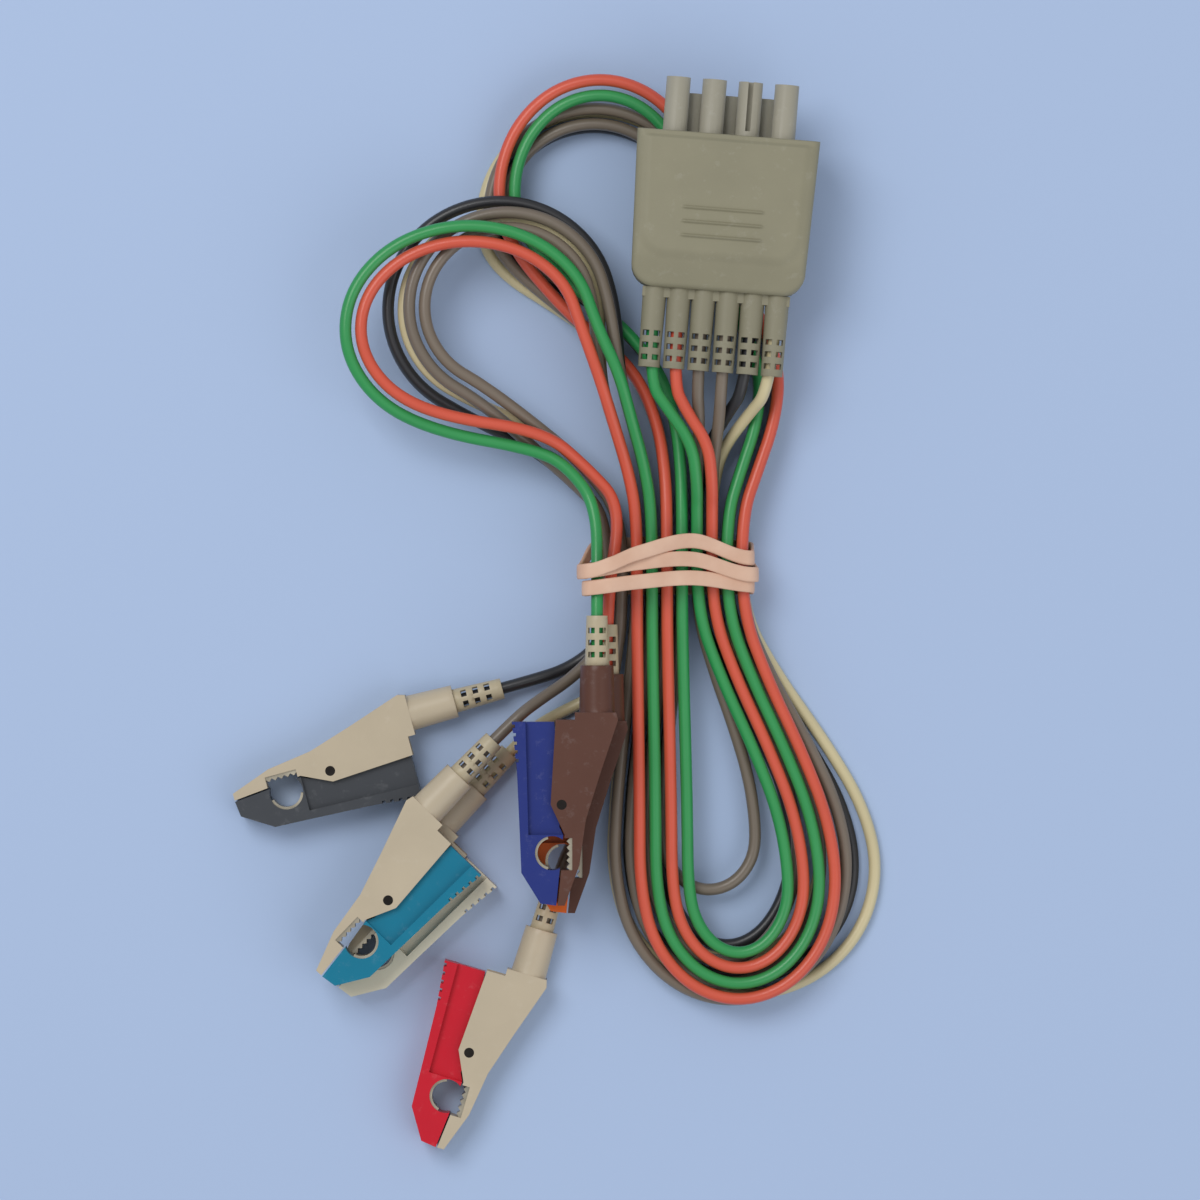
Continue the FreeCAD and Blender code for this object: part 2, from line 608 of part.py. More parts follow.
def lead_points(level, outer, tail, arms, top, left, lows, finish, sizes):
    """The route of one lead: connector, inner lower loop, top loop, outer lower loop, left loop, clip.

    Each lead stays on its own level of the hank. Strands of one level are nested and never
    cross; left loops climb over the top loops, and every strand rises over the band's floor.
    """
    ground = sizes["wire_dia"] / 2 + sizes["floor_gap"] + sizes["level_step"] * level

    def column(number):
        return sizes["first_column_x"] + sizes["column_step"] * (number - 1)

    def lay(x, y, climb=0.0):
        over = 1.4 * math.exp(-((y - 8.6) / 16.0) ** 4)
        return (x, y, ground + over + climb)

    first, second, third, fourth, fifth = (8, 5, 10, 3, 2) if outer else (7, 6, 9, 4, 1)
    points = list(tail)
    exit_y = tail[1][1]
    exit_z = tail[1][2]
    for across, down in arms:
        x, y = plan(across, down)
        share = ((y - 18.0) / (exit_y - 18.0)) ** (2.2 - 0.9 * level)
        low = lay(x, y)[2]
        points.append((x, y, low + (exit_z - low) * share))

    def lower_loop(here, there, shape):
        side_left, belly = plan(shape[0], shape[2])
        side_right, bottom = plan(shape[1], shape[3])
        points.append(lay(column(here), 18.0))
        points.append(lay(column(here), -1.0))
        for share in (0.25, 0.5, 0.75):
            a = math.radians(90 * share)
            f = 0.5 * (math.sin(a) + math.sin(a) ** 2)
            x = column(here) + (side_right - column(here)) * f
            points.append(lay(x, -1.0 + (belly + 1.0) * share))
        for step in range(7):
            a = math.radians(30 * step)
            x = (side_left + side_right) / 2 + (side_right - side_left) / 2 * math.cos(a)
            points.append(lay(x, belly - (belly - bottom) * math.sin(a)))
        for share in (0.75, 0.5, 0.25):
            a = math.radians(90 * share)
            f = 0.5 * (math.sin(a) + math.sin(a) ** 2)
            x = column(there) + (side_left - column(there)) * f
            points.append(lay(x, -1.0 + (belly + 1.0) * share))
        points.append(lay(column(there), -1.0))
        points.append(lay(column(there), 18.0))

    lower_loop(first, second, lows[0])
    # top loop: up the slanting arm, round the top and down under the connector
    if outer:
        slant = [(665, 470), (658, 425), (640, 380), (608, 345), (568, 314)]
        under = [(735, 270), (764, 325), (780, 372), (775, 421), (758, 470)]
        grow = 0.0
    else:
        slant = [(681, 468), (676, 421), (660, 371), (626, 330), (586, 297)]
        under = [(716, 272), (744, 327), (761, 374), (757, 423), (741, 470)]
        grow = -16.0
    for across, down in slant:
        x, y = plan(across, down)
        points.append(lay(x, y))
    for step in range(8):
        a = math.radians(205 - 205 * step / 7.0)
        x, y = plan(top[0] + (top[2] + grow) * math.cos(a), top[1] - (top[3] + grow) * math.sin(a))
        points.append(lay(x, y))
    for across, down in under:
        x, y = plan(across, down)
        points.append(lay(x, y))
    lower_loop(third, fourth, lows[1])
    # left loop: up, round to the left and back down to the left end of the band
    if outer:
        rise = [(628, 470), (614, 425), (600, 380)]
        back = [(545, 432), (587, 468)]
        grow = 0.0
    else:
        rise = [(645, 468), (632, 422), (619, 374)]
        back = [(536, 450), (573, 482)]
        grow = 16.0

    def high(across, down):
        x, y = plan(across, down)
        return lay(x, y, 9.3 * ramp(19.0, 49.0, y))

    for across, down in rise:
        points.append(high(across, down))
    for step in range(9):
        a = math.radians(255 * step / 8.0)
        across = left[0] + (left[2] + grow) * math.cos(a)
        points.append(high(across, left[1] - (left[3] + grow) * math.sin(a)))
    for across, down in back:
        points.append(high(across, down))
    points.append(lay(column(fifth), 18.0))
    points.append(lay(column(fifth), -1.0))
    points.extend(finish)
    return points


def rounded_path(points):
    """Straight runs joined by tangent arcs, with the least arc radius and the length."""
    corners = [FreeCAD.Vector(*point) for point in points]
    edges = []
    least = 1000.0
    last = corners[0]
    for before, corner, after in zip(corners, corners[1:], corners[2:]):
        back = (before - corner).normalize()
        ahead = (after - corner).normalize()
        turn = math.pi - back.getAngle(ahead)
        reach = 0.45 * min((before - corner).Length, (after - corner).Length)
        start = corner + back * reach
        end = corner + ahead * reach
        radius = reach / math.tan(turn / 2)
        least = min(least, radius)
        inward = (back + ahead).normalize()
        middle = corner + inward * (radius / math.cos(turn / 2) - radius)
        edges.append(Part.LineSegment(last, start).toShape())
        edges.append(Part.Arc(start, middle, end).toShape())
        last = end
    edges.append(Part.LineSegment(last, corners[-1]).toShape())
    return Part.Wire(edges), least


def tube(points, diameter):
    """A round solid along a rounded path."""
    path, least = rounded_path(points)
    start = FreeCAD.Vector(*points[0])
    toward = FreeCAD.Vector(*points[1]) - start
    ring = Part.Wire([Part.makeCircle(diameter / 2, start, toward)])
    shell = Part.BRepOffsetAPI.MakePipeShell(path)
    shell.add(ring)
    shell.build()
    shell.makeSolid()
    return shell.shape(), least, path


def self_gap(path, diameter):
    """Least clear distance between two stretches of one tube, from points along its path."""
    count = int(path.Length / 1.5)
    spots = path.discretize(Number=count)
    step = path.Length / (count - 1)
    skip = int(14 / step)
    boxes = {}
    for number, spot in enumerate(spots):
        boxes.setdefault((int(spot.x // 6), int(spot.y // 6)), []).append(number)
    least = 100.0
    for number, spot in enumerate(spots):
        home = (int(spot.x // 6), int(spot.y // 6))
        for a in (-1, 0, 1):
            for b in (-1, 0, 1):
                for other in boxes.get((home[0] + a, home[1] + b), ()):
                    if other - number > skip:
                        least = min(least, (spots[other] - spot).Length)
    return least - diameter


# Each row: label, level, outer of its pair, tail number, points between tail and band,
# top loop (centre and radii), left loop, inner and outer lower loop (left, right, belly,
# bottom), points between band and clip, clip.
LEADS = [
    ("cream_lead", 0, True, 5, [(747, 416), (722, 450), (714, 484)],
     (594, 218, 116, 112), (500, 310, 100, 96), [(644, 825, 850, 966), (612, 880, 872, 1000)],
     [(10.9, -9.0, 1.25), (7.4, -17.5, 1.25), (-2.0, -22.0, 1.5)], "cream_clip"),
    ("black_lead", 0, False, 4, [(726, 416), (706, 450), (699, 484)],
     (594, 218, 116, 112), (500, 310, 100, 96), [(660, 795, 845, 950), (628, 858, 868, 984)],
     [(7.0, -8.0, 1.25), (1.0, -12.5, 1.4)], "grey_clip"),
    ("taupe_two_lead", 1, True, 3, [(719, 418), (715, 450), (712, 484)],
     (594, 210, 108, 106), (508, 308, 86, 82), [(646, 800, 850, 965), (614, 850, 870, 1005)],
     [(10.6, -10.0, 4.3), (8.4, -22.0, 4.3), (6.6, -34.0, 4.3), (3.6, -45.0, 4.1)], "red_clip"),
    ("taupe_one_lead", 1, False, 2, [(699, 418), (698, 450), (697, 484)],
     (594, 210, 108, 106), (508, 308, 86, 82), [(662, 757, 838, 892), (630, 824, 866, 988)],
     [(7.0, -9.0, 4.3), (1.5, -14.5, 5.8), (-4.5, -18.5, 8.5)], "teal_clip"),
    ("red_lead", 2, True, 1, [(686, 412), (708, 445), (712, 484)],
     (600, 192, 104, 116), (470, 330, 112, 90), [(672, 806, 884, 971), (640, 838, 884, 1003)],
     [], "orange_clip"),
    ("green_lead", 2, False, 0, [(668, 410), (692, 445), (697, 484)],
     (600, 192, 104, 116), (470, 330, 112, 90), [(688, 790, 884, 955), (656, 822, 884, 987)],
     [], "blue_clip"),
]
numbers = {}
for alias in ("wire_dia", "floor_gap", "level_step", "column_step", "first_column_x"):
    numbers[alias] = size(alias)
bore_end = size("clip_back") + size("collar_len")
mouth = bore_end + size("relief_len")
for label, level, outer, tail_number, arms, top, left, lows, finish, clip in LEADS:
    across = (tail_number - 2.5) * size("tail_step")
    rear = -size("plug_long")
    tail = []
    for along in (rear - 1.5, rear - size("tail_long") - 2.5):
        spot = PLUG.multVec(FreeCAD.Vector(across, along, 0))
        tail.append((spot.x, spot.y, spot.z))
    ends = []
    for along in (mouth + 6.0, bore_end + 0.9):
        spot = CLIPS[clip].multVec(FreeCAD.Vector(along, -size("lead_axis"), 0))
        ends.append((spot.x, spot.y, spot.z))
    points = lead_points(level, outer, tail, arms, top, left, lows, finish + ends, numbers)
    if not finish:
        # the two leads of the stacked clips leave the band upward, straight into the reliefs
        place = len(points) - 4
        x, y, z = points[place]
        points[place] = (x - (0.0 if outer else 2.0), y + 2.0, z + (0.3 if outer else 2.8))
        del points[place + 1]
        if not outer:
            x, y, z = points[place - 1]
            points[place - 1] = (x - 1.0, y + 3.0, z + 2.4)
    solid, least, path = tube(points, size("wire_dia"))
    item = doc.addObject("Part::Feature", label)
    item.Shape = solid
    keep(item, label, FreeCAD.Placement())
    filled = solid.Volume / (path.Length * math.pi * size("wire_dia") ** 2 / 4)
    gap = self_gap(path, size("wire_dia"))
    print(label, "length", round(path.Length), "least radius", round(least, 1), "volume share",
          round(filled, 3), "self gap", round(gap, 2))

# Rubber band: three turns round the strands and a fourth run crossing them on top.
thick = size("band_thick")
play = size("band_play")
wire = size("wire_dia")
step = size("band_turn_step")
wide = size("band_width")
near_y = size("band_first_y")
inner_left = size("first_column_x") - wire / 2 - play
inner_right = size("first_column_x") + 9 * size("column_step") + wire / 2 + play
top_right = wire / 2 + 1.4 + size("floor_gap") + 2 * size("level_step") + wire / 2 + play
top_left = 18.2
floor_z = 0.05
inner = [
    (inner_left, floor_z + thick),
    (inner_right, floor_z + thick),
    (inner_right, top_right),
    (inner_left + 1.8, top_left),
    (inner_left - 2.8, top_left),
]
ring = Part.makePolygon([FreeCAD.Vector(x, 0, z) for x, z in inner + inner[:1]])
hollow = Part.Face(ring)
grown = ring.makeOffset2D(thick, 0)
sheet_face = Part.Face(Part.Wire(grown.Edges)).cut(hollow)
turns = []
for n in range(3):
    turn = sheet_face.extrude(FreeCAD.Vector(0, wide, 0))
    turn.translate(FreeCAD.Vector(0, near_y + n * step, 0))
    turns.append(turn)
start = FreeCAD.Vector(inner_left + 1.8, near_y, top_left)
run = FreeCAD.Vector(inner_right - inner_left - 1.8, 0, top_right - top_left)
slope = run / run.Length
lift = FreeCAD.Vector(-slope.z, 0, slope.x)
sink = 0.05
base_a = start + slope * 0.3 + lift * (thick - sink)
base_b = start + slope * (run.Length - 0.4) + lift * (thick - sink) + FreeCAD.Vector(0, 2 * step, 0)
cross_points = [base_a, base_b, base_b + FreeCAD.Vector(0, wide, 0), base_a + FreeCAD.Vector(0, wide, 0)]
cross_points.append(base_a)
crossing = Part.Face(Part.makePolygon(cross_points)).extrude(lift * thick)
band_shape = turns[0].fuse(turns[1:] + [crossing]).removeSplitter()
band = doc.addObject("Part::Feature", "rubber_band")
band.Shape = band_shape.Solids[0] if len(band_shape.Solids) == 1 else band_shape
keep(band, "rubber_band", FreeCAD.Placement())
print("band solids", len(band_shape.Solids))

doc.recompute()
# The origin goes below the middle of everything but the leads, on the surface it lies on.
whole = FreeCAD.BoundBox()
for item in made:
    if not item.Label.endswith("_lead"):
        whole.add(item.Shape.BoundBox)
shift = FreeCAD.Placement(FreeCAD.Vector(-whole.Center.x, -whole.Center.y, -whole.ZMin), FreeCAD.Rotation())
for item in made:
    item.Placement = shift.multiply(item.Placement)
doc.recompute()
print("origin moved by", [round(v, 4) for v in shift.Base])
print("size without leads", round(whole.XLength, 2), round(whole.YLength, 2))
os.makedirs("parts", exist_ok=True)
for item in made:
    if "Invalid" in item.State or "Error" in item.State:
        raise RuntimeError("not rebuilt: " + item.Label)
    if item.Shape.isNull() or not item.Shape.isValid():
        raise RuntimeError("bad shape: " + item.Label)
for item in made:
    item.Shape.exportStep("parts/%s.step" % item.Label)
print("nodes", len(made))
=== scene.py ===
"""Electrode lead set on a pale floor: plug, six coloured leads in a banded hank, six clips."""
import math
import bmesh
import bpy
import numpy as np
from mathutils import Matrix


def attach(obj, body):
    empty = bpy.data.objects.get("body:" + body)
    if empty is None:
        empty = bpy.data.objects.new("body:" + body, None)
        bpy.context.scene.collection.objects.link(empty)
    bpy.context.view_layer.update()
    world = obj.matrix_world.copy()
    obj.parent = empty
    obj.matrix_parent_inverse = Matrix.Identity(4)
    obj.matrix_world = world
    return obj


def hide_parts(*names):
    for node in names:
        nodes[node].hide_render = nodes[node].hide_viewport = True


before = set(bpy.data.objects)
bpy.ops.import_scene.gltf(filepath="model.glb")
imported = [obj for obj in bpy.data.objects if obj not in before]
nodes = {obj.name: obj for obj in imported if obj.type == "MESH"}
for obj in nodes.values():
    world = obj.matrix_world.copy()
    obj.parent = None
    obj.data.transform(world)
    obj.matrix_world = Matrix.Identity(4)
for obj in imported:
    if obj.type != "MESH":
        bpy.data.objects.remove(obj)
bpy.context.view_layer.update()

# Camera: it looks straight down on the hank and frames it as the photo does, at five pixels to
# the millimetre. A long lens from high up keeps the outlines almost free of perspective.
eye = bpy.data.cameras.new("camera")
eye.sensor_width = 36.0
eye.lens = 225.0
camera = bpy.data.objects.new("camera", eye)
camera.location = (0.014865, 0.002927, 1.508)
bpy.context.scene.collection.objects.link(camera)
bpy.context.scene.camera = camera

# Light: a large soft lamp at the upper left, a wider one opposite that fills the shadows, and
# an even pale sky. Together they light the floor to about its own colour.
for label, place, power, wide in (
    ("key", (-0.4, 0.45, 1.0), 5.6, 0.6),
    ("fill", (0.6, -0.45, 0.8), 2.6, 0.9),
):
    lamp = bpy.data.lights.new(label, "AREA")
    lamp.energy = power
    lamp.size = wide
    light = bpy.data.objects.new(label, lamp)
    light.location = place
    tilt = math.atan2(math.hypot(place[0], place[1]), place[2])
    light.rotation_euler = (tilt, 0.0, math.atan2(place[1], place[0]) + math.pi / 2)
    bpy.context.scene.collection.objects.link(light)
world = bpy.data.worlds.new("sky")
world.use_nodes = True
sky = world.node_tree.nodes["Background"]
sky.inputs["Color"].default_value = (0.92, 0.95, 1.0, 1.0)
sky.inputs["Strength"].default_value = 0.48
bpy.context.scene.world = world
bpy.context.scene.view_settings.view_transform = "Standard"


# Floor: a sheet of plain pale blue paper that the set lies on, wide enough for every view.
# It belongs to the stage and not to the set.
def linear(red, green, blue):
    """Linear colour from 0 to 255 screen values."""
    rgb = np.array([red, green, blue]) / 255.0
    rgb = np.where(rgb <= 0.04045, rgb / 12.92, ((rgb + 0.055) / 1.055) ** 2.4)
    return (*[float(c) for c in rgb], 1.0)


mesh = bpy.data.meshes.new("floor")
mesh.from_pydata([(-2, -2, 0), (2, -2, 0), (2, 2, 0), (-2, 2, 0)], [], [(0, 1, 2, 3)])
floor = bpy.data.objects.new("floor", mesh)
bpy.context.scene.collection.objects.link(floor)
material = bpy.data.materials.new("floor_paper")
material.use_nodes = True
paper = material.node_tree.nodes["Principled BSDF"]
paper.inputs["Base Color"].default_value = linear(176, 196, 228)
paper.inputs["Roughness"].default_value = 0.85
mesh.materials.append(material)

# Leads: six round wires of stranded copper in soft extruded insulation, 2.4 mm thick. Each is
# held in a tail of the plug and in the sleeve of its clip, and lies folded on one of the three
# levels of the hank. Routes are in millimetres, most of them from points of the photo.
WIRE_DIA = 2.4
FLOOR_GAP = 0.05
LEVEL_STEP = 3.1
FIRST_COLUMN = 8.6
COLUMN_STEP = 3.0
BAND_MIDDLE = 8.6
BAND_REACH = 16.0
BAND_RISE = 1.4
ABOVE_BAND = 18.0
BELOW_BAND = -1.0
LEFT_CLIMB = 9.3
ORIGIN = (7.665, 1.7267, 0.0)
PLUG_SPOT = (32.8, 93.5, 15.3)
PLUG_TURN = math.radians(-4.5)
TAIL_STEP = 4.9
LEAD_AXIS = 7.0


class Sock:
    """A shader socket with arithmetic; make() adds any other node."""

    def __init__(self, tree, socket):
        self.tree = tree
        self.socket = socket

    def make(self, kind, out=0, settings=None, **inputs):
        """A new node's output: settings first, then values or links by socket name or in0, in1."""
        node = self.tree.nodes.new(kind)
        for name, value in (settings or {}).items():
            setattr(node, name, value)
        for name, value in inputs.items():
            key = int(name[2:]) if name.startswith("in") else name.replace("_", " ")
            if isinstance(value, Sock):
                self.tree.links.new(value.socket, node.inputs[key])
            else:
                node.inputs[key].default_value = value
        return Sock(self.tree, node.outputs[out])

    def feed(self, shader, name):
        """Link this value to one of a shader's sockets."""
        self.tree.links.new(self.socket, shader.inputs[name])

    def math(self, operation, first, second):
        return self.make("ShaderNodeMath", settings={"operation": operation}, in0=first, in1=second)

    def __add__(self, other):
        return self.math("ADD", self, other)

    def __radd__(self, other):
        return self.math("ADD", other, self)

    def __sub__(self, other):
        return self.math("SUBTRACT", self, other)

    def __rsub__(self, other):
        return self.math("SUBTRACT", other, self)

    def __mul__(self, other):
        return self.math("MULTIPLY", self, other)

    def __rmul__(self, other):
        return self.math("MULTIPLY", other, self)


def start_material(name):
    """A new node material: its Principled shader and an Object-coordinate socket."""
    material = bpy.data.materials.new(name)
    material.use_nodes = True
    shader = material.node_tree.nodes["Principled BSDF"]
    coordinate = material.node_tree.nodes.new("ShaderNodeTexCoord")
    return material, shader, Sock(material.node_tree, coordinate.outputs["Object"])


def blend(share, low, high):
    """A colour between two others by a socket's value."""
    return share.make("ShaderNodeMix", 2, {"data_type": "RGBA"}, in0=share, in6=low, in7=high)


def darker(colour, share):
    """A colour scaled down to a share of itself."""
    return (*[c * share for c in colour[:3]], 1.0)


def insulation(name, colour, shine):
    """Soft extruded insulation: faint streaks, dulled patches and a silky sheen."""
    material, shader, spot = start_material(name)
    broad = spot.make("ShaderNodeTexNoise", Vector=spot, Scale=60.0, Detail=4.0)
    fine = spot.make("ShaderNodeTexNoise", Vector=spot, Scale=1500.0, Detail=2.0)
    blend(broad, darker(colour, 0.78), colour).feed(shader, "Base Color")
    (broad * 0.2 + shine).feed(shader, "Roughness")
    shader.inputs["Coat Weight"].default_value = 0.12
    bump = spot.make("ShaderNodeBump", Strength=0.15, Distance=0.00005, Height=fine)
    bump.feed(shader, "Normal")
    return material


def plan(across, down):
    """Millimetres for a point read off the photo at 5 pixels per mm."""
    return ((across - 564) / 5.0, (606 - down) / 5.0)


def ramp(low, high, value):
    """A smooth rise from 0 to 1 between two values."""
    s = min(1.0, max(0.0, (value - low) / (high - low)))
    return s * s * (3 - 2 * s)


def column(number):
    """X of a strand where it passes under the band, counted from the left."""
    return FIRST_COLUMN + COLUMN_STEP * (number - 1)


def plug_spot(across, along):
    """A point on the plug's middle plane, which is turned a little clockwise."""
    x = PLUG_SPOT[0] + across * math.cos(PLUG_TURN) - along * math.sin(PLUG_TURN)
    y = PLUG_SPOT[1] + across * math.sin(PLUG_TURN) + along * math.cos(PLUG_TURN)
    return (x, y, PLUG_SPOT[2])


def clip_spot(pin, turn, flipped, along):
    """A point on the lead's axis of a clip, along millimetres behind its hinge pin."""
    side = LEAD_AXIS if flipped else -LEAD_AXIS
    turn = math.radians(turn)
    x = pin[0] + along * math.cos(turn) - side * math.sin(turn)
    return (x, pin[1] + along * math.sin(turn) + side * math.cos(turn), pin[2])


def lead_points(level, outer, tail, arms, top, left, lows, finish):
    """The route of one lead: plug, inner lower loop, top loop, outer lower loop, left loop, clip.

    Each lead stays on its own level of the hank. Strands of one level are nested and never
    cross; left loops climb over the top loops, and every strand rises over the band's floor.
    """
    ground = WIRE_DIA / 2 + FLOOR_GAP + LEVEL_STEP * level

    def lay(x, y, climb=0.0):
        over = BAND_RISE * math.exp(-((y - BAND_MIDDLE) / BAND_REACH) ** 4)
        return (x, y, ground + over + climb)

    first, second, third, fourth, fifth = (8, 5, 10, 3, 2) if outer else (7, 6, 9, 4, 1)
    points = list(tail)
    exit_y = tail[1][1]
    exit_z = tail[1][2]
    for across, down in arms:
        x, y = plan(across, down)
        share = ((y - ABOVE_BAND) / (exit_y - ABOVE_BAND)) ** (2.2 - 0.9 * level)
        low = lay(x, y)[2]
        points.append((x, y, low + (exit_z - low) * share))

    def lower_loop(here, there, shape):
        side_left, belly = plan(shape[0], shape[2])
        side_right, bottom = plan(shape[1], shape[3])

        def flank(start, side, share):
            a = math.radians(90 * share)
            f = 0.5 * (math.sin(a) + math.sin(a) ** 2)
            return lay(start + (side - start) * f, BELOW_BAND + (belly - BELOW_BAND) * share)

        points.append(lay(column(here), ABOVE_BAND))
        points.append(lay(column(here), BELOW_BAND))
        for share in (0.25, 0.5, 0.75):
            points.append(flank(column(here), side_right, share))
        for step in range(7):
            a = math.radians(30 * step)
            x = (side_left + side_right) / 2 + (side_right - side_left) / 2 * math.cos(a)
            points.append(lay(x, belly - (belly - bottom) * math.sin(a)))
        for share in (0.75, 0.5, 0.25):
            points.append(flank(column(there), side_left, share))
        points.append(lay(column(there), BELOW_BAND))
        points.append(lay(column(there), ABOVE_BAND))

    lower_loop(first, second, lows[0])
    # top loop: up the slanting arm, round the top and down under the plug
    if outer:
        slant = [(665, 470), (658, 425), (640, 380), (608, 345), (568, 314)]
        under = [(735, 270), (764, 325), (780, 372), (775, 421), (758, 470)]
        grow = 0.0
    else:
        slant = [(681, 468), (676, 421), (660, 371), (626, 330), (586, 297)]
        under = [(716, 272), (744, 327), (761, 374), (757, 423), (741, 470)]
        grow = -16.0
    for across, down in slant:
        points.append(lay(*plan(across, down)))
    for step in range(8):
        a = math.radians(205 - 205 * step / 7.0)
        across = top[0] + (top[2] + grow) * math.cos(a)
        points.append(lay(*plan(across, top[1] - (top[3] + grow) * math.sin(a))))
    for across, down in under:
        points.append(lay(*plan(across, down)))
    lower_loop(third, fourth, lows[1])
    # left loop: up, round to the left and back down to the left end of the band
    if outer:
        rise = [(628, 470), (614, 425), (600, 380)]
        back = [(545, 432), (587, 468)]
        grow = 0.0
    else:
        rise = [(645, 468), (632, 422), (619, 374)]
        back = [(536, 450), (573, 482)]
        grow = 16.0

    def high(across, down):
        x, y = plan(across, down)
        return lay(x, y, LEFT_CLIMB * ramp(19.0, 49.0, y))

    for across, down in rise:
        points.append(high(across, down))
    for step in range(9):
        a = math.radians(255 * step / 8.0)
        across = left[0] + (left[2] + grow) * math.cos(a)
        points.append(high(across, left[1] - (left[3] + grow) * math.sin(a)))
    for across, down in back:
        points.append(high(across, down))
    points.append(lay(column(fifth), ABOVE_BAND))
    points.append(lay(column(fifth), BELOW_BAND))
    points.extend(finish)
    return points


# each lead: names, level, outer or inner strand, tail of the plug, length and colour; then its
# arm below the plug, its loops, the way to its clip, and the clip's pin, heading and side
LEADS = [
    ("cream_lead", "cream_wire", 0, True, 5, 0.922, (222, 208, 164),
     [(747, 416), (722, 450), (714, 484)],
     (594, 218, 116, 112), (500, 310, 100, 96), [(644, 825, 850, 966), (612, 880, 872, 1000)],
     [(10.9, -9.0, 1.25), (7.4, -17.5, 1.25), (-2.0, -22.0, 1.5)],
     (-32.0, -61.2, 3.6), 46, True),
    ("black_lead", "black_wire", 0, False, 4, 0.886, (44, 44, 47),
     [(726, 416), (706, 450), (699, 484)],
     (594, 218, 116, 112), (500, 310, 100, 96), [(660, 795, 845, 950), (628, 858, 868, 984)],
     [(7.0, -8.0, 1.25), (1.0, -12.5, 1.4)],
     (-46.8, -33.0, 3.6), 15, True),
    ("taupe_two_lead", "taupe_wire", 1, True, 3, 0.909, (128, 115, 100),
     [(719, 418), (715, 450), (712, 484)],
     (594, 210, 108, 106), (508, 308, 86, 82), [(646, 800, 850, 965), (614, 850, 870, 1005)],
     [(10.6, -10.0, 4.3), (8.4, -22.0, 4.3), (6.6, -34.0, 4.3), (3.6, -45.0, 4.1)],
     (-19.0, -89.4, 3.6), 73.6, False),
    ("taupe_one_lead", "taupe_wire", 1, False, 2, 0.842, (121, 109, 95),
     [(699, 418), (698, 450), (697, 484)],
     (594, 210, 108, 106), (508, 308, 86, 82), [(662, 757, 838, 892), (630, 824, 866, 988)],
     [(7.0, -9.0, 4.3), (1.5, -14.5, 5.8), (-4.5, -18.5, 8.5)],
     (-35.0, -58.6, 11.1), 46, True),
    ("red_lead", "red_wire", 2, True, 1, 0.875, (226, 92, 66),
     [(686, 412), (708, 445), (712, 484)],
     (600, 192, 104, 116), (470, 330, 112, 90), [(672, 806, 884, 971), (640, 838, 884, 1003)],
     [],
     (1.6, -41.2, 9.8), 90, False),
    ("green_lead", "green_wire", 2, False, 0, 0.855, (48, 158, 84),
     [(668, 410), (692, 445), (697, 484)],
     (600, 192, 104, 116), (470, 330, 112, 90), [(688, 790, 884, 955), (656, 822, 884, 987)],
     [],
     (-0.4, -39.4, 17.3), 90, False),
]
for row in LEADS:
    label, slot, level, outer, number, length, colour = row[:7]
    arms, top, left, lows, finish, pin, turn, flipped = row[7:]
    across = (number - 2.5) * TAIL_STEP
    tail = [plug_spot(across, -32.5), plug_spot(across, -49.5)]
    ends = [clip_spot(pin, turn, flipped, 43.5), clip_spot(pin, turn, flipped, 28.5)]
    points = lead_points(level, outer, tail, arms, top, left, lows, finish + ends)
    if not finish:
        # the upper two clips hang close below the band, so their leads leave it sooner and higher
        place = len(points) - 4
        x, y, z = points[place]
        points[place] = (x - (0.0 if outer else 2.0), y + 2.0, z + (0.3 if outer else 2.8))
        del points[place + 1]
        if not outer:
            x, y, z = points[place - 1]
            points[place - 1] = (x - 1.0, y + 3.0, z + 2.4)
    curve = bpy.data.curves.new(label + "_line", "CURVE")
    curve.dimensions = "3D"
    spline = curve.splines.new("NURBS")
    spline.points.add(len(points) - 1)
    for control, spot in zip(spline.points, points):
        control.co = (*[(spot[k] + ORIGIN[k]) / 1000.0 for k in range(3)], 1.0)
    spline.order_u = 3
    spline.use_endpoint_u = True
    spline.resolution_u = 10
    curve.bevel_depth = WIRE_DIA / 2000.0
    curve.bevel_resolution = 5
    curve.use_fill_caps = True
    lead = bpy.data.objects.new(label + "_wire", curve)
    bpy.context.scene.collection.objects.link(lead)
    curve.materials.append(insulation(label + "_skin", linear(*colour), 0.28))
    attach(lead, "set")
    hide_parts(label)
    start = plug_spot(across, -47.0)
    leave = tuple((start[k] + ORIGIN[k]) / 1000.0 for k in range(3))

# Rubber band: flat natural rubber, stretched round the hank by hand in three turns. The turns
# lie apart below, bunch together at both sides, where one rides on another, and bow apart on top.
BAND_CORNERS = np.array([(37.7, 0.65), (37.7, 10.8), (9.2, 18.75), (3.7, 18.75), (6.5, 0.65)])
BAND_ROUND = 1.6
BAND_WIDE = 3.0
BAND_THICK = 0.85
BAND_STEPS = 264


